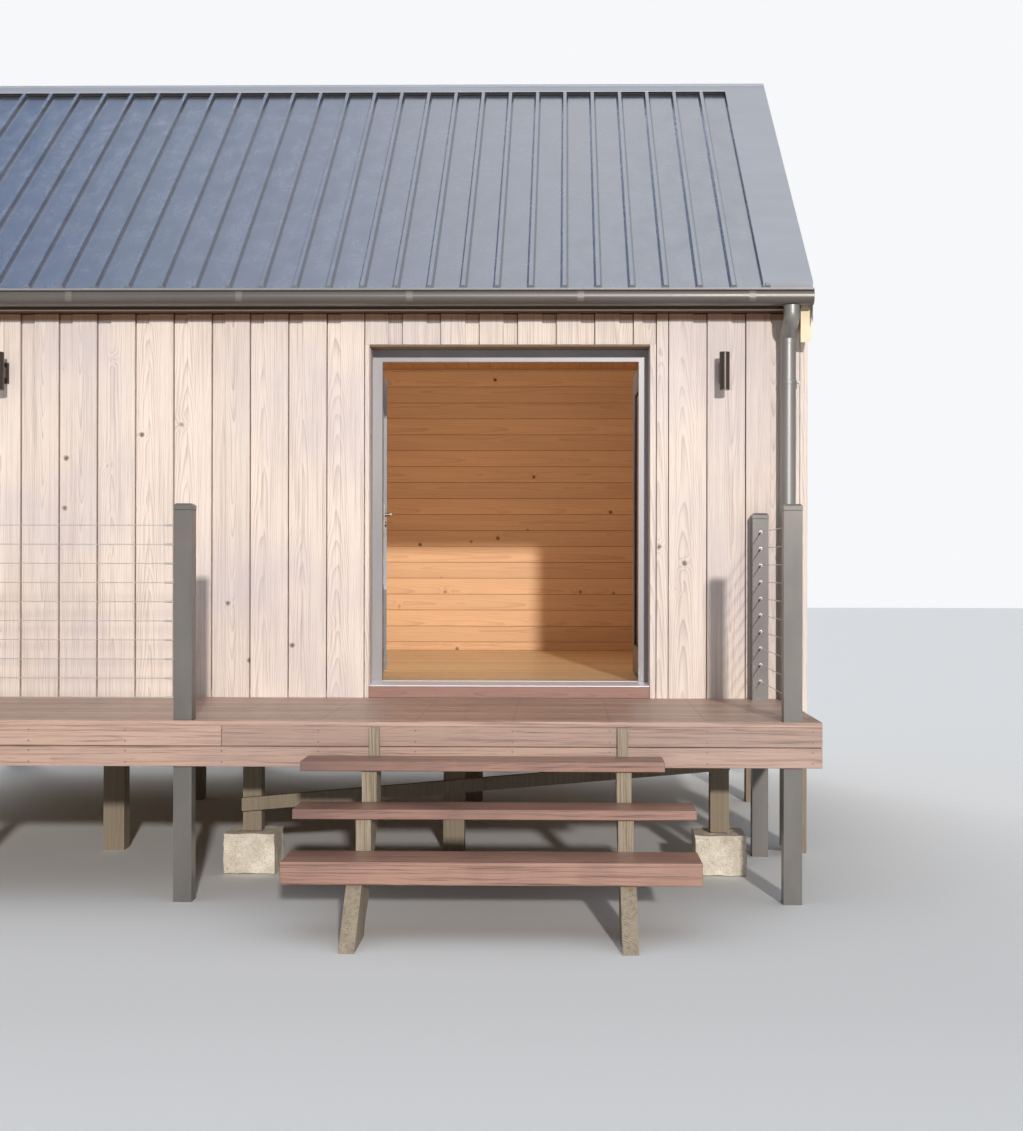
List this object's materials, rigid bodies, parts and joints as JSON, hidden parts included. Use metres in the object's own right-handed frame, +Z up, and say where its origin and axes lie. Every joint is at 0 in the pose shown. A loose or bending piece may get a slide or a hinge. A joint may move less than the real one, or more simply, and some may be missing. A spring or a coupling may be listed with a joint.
{
  "type": "modular timber cabin",
  "caption": "Gabled timber cabin on piles with ribbed steel roof, hinged glazed double door, front deck, wire balustrade and open-tread steps.",
  "frame": {"origin": "centre of the whole outline in plan, at the ground the piles, posts and step feet stand on", "axes": "+Z up; the front with the deck and the steps faces -Y; +X to the right of someone facing the front"},
  "size_m": [6.04, 7.088, 5.0571],
  "materials": {
    "cladding": "whitewashed, sawn",
    "lining": "clear finished",
    "framing": "sawn",
    "piles": "sawn, weathered",
    "eaves": "satin",
    "roof_steel": "satin",
    "gutter_steel": "satin",
    "lamp": "satin black",
    "door_frame": "satin grey",
    "trim": "stained",
    "hardwood": "oiled",
    "glass": "clear",
    "handle": "brushed",
    "hinge": "brushed",
    "posts": "painted",
    "wire": "bright",
    "concrete": "rough cast",
    "stringer": "weathered"
  },
  "bodies": {
    "cabin": {"front_wall_left": "cladding", "front_wall_right": "cladding", "front_wall_header": "cladding", "back_wall": "cladding", "gable_wall_left": "cladding", "gable_wall_right": "cladding", "barge_boards": "cladding", "floor_boards": "lining", "ceiling": "lining", "floor_joists": "framing", "floor_bearers": "framing", "cabin_piles": "piles", "roof_frame": "framing", "roof_sheet_front": "roof_steel", "roof_sheet_back": "roof_steel", "ridge_cap": "roof_steel", "verge_flashings": "roof_steel", "eave_boxes": "eaves", "gutters": "gutter_steel", "downpipes": "gutter_steel", "wall_lamps": "lamp", "door_threshold": "hardwood", "door_head_trim": "trim", "door_frame": "door_frame", "door_hinges": "hinge", "deck_boards": "hardwood", "deck_joists": "framing", "deck_bearers": "framing", "deck_fascia_front": "hardwood", "deck_fascia_sides": "hardwood", "deck_stumps": "piles", "concrete_pads": "concrete", "posts_front": "posts", "posts_rear": "posts", "balustrade_wires": "wire", "step_treads": "hardwood", "stringers": "stringer"},
    "left_leaf": {"door_leaf_left": "door_frame", "leaf_knuckles_left": "hinge", "door_glass_left": "glass", "door_handle_left": "handle"},
    "right_leaf": {"door_leaf_right": "door_frame", "leaf_knuckles_right": "hinge", "door_glass_right": "glass"}
  },
  "joints": [
    {"name": "left_leaf_hinge", "type": "hinge", "parent": "cabin", "child": "left_leaf", "pos_m": [0.4775, -0.754, 1.919], "axis": [0, 0, -1], "range_deg": [0, 95]},
    {"name": "right_leaf_hinge", "type": "hinge", "parent": "cabin", "child": "right_leaf", "pos_m": [2.1305, -0.754, 1.919], "axis": [0, 0, 1], "range_deg": [0, 89]}
  ]
}
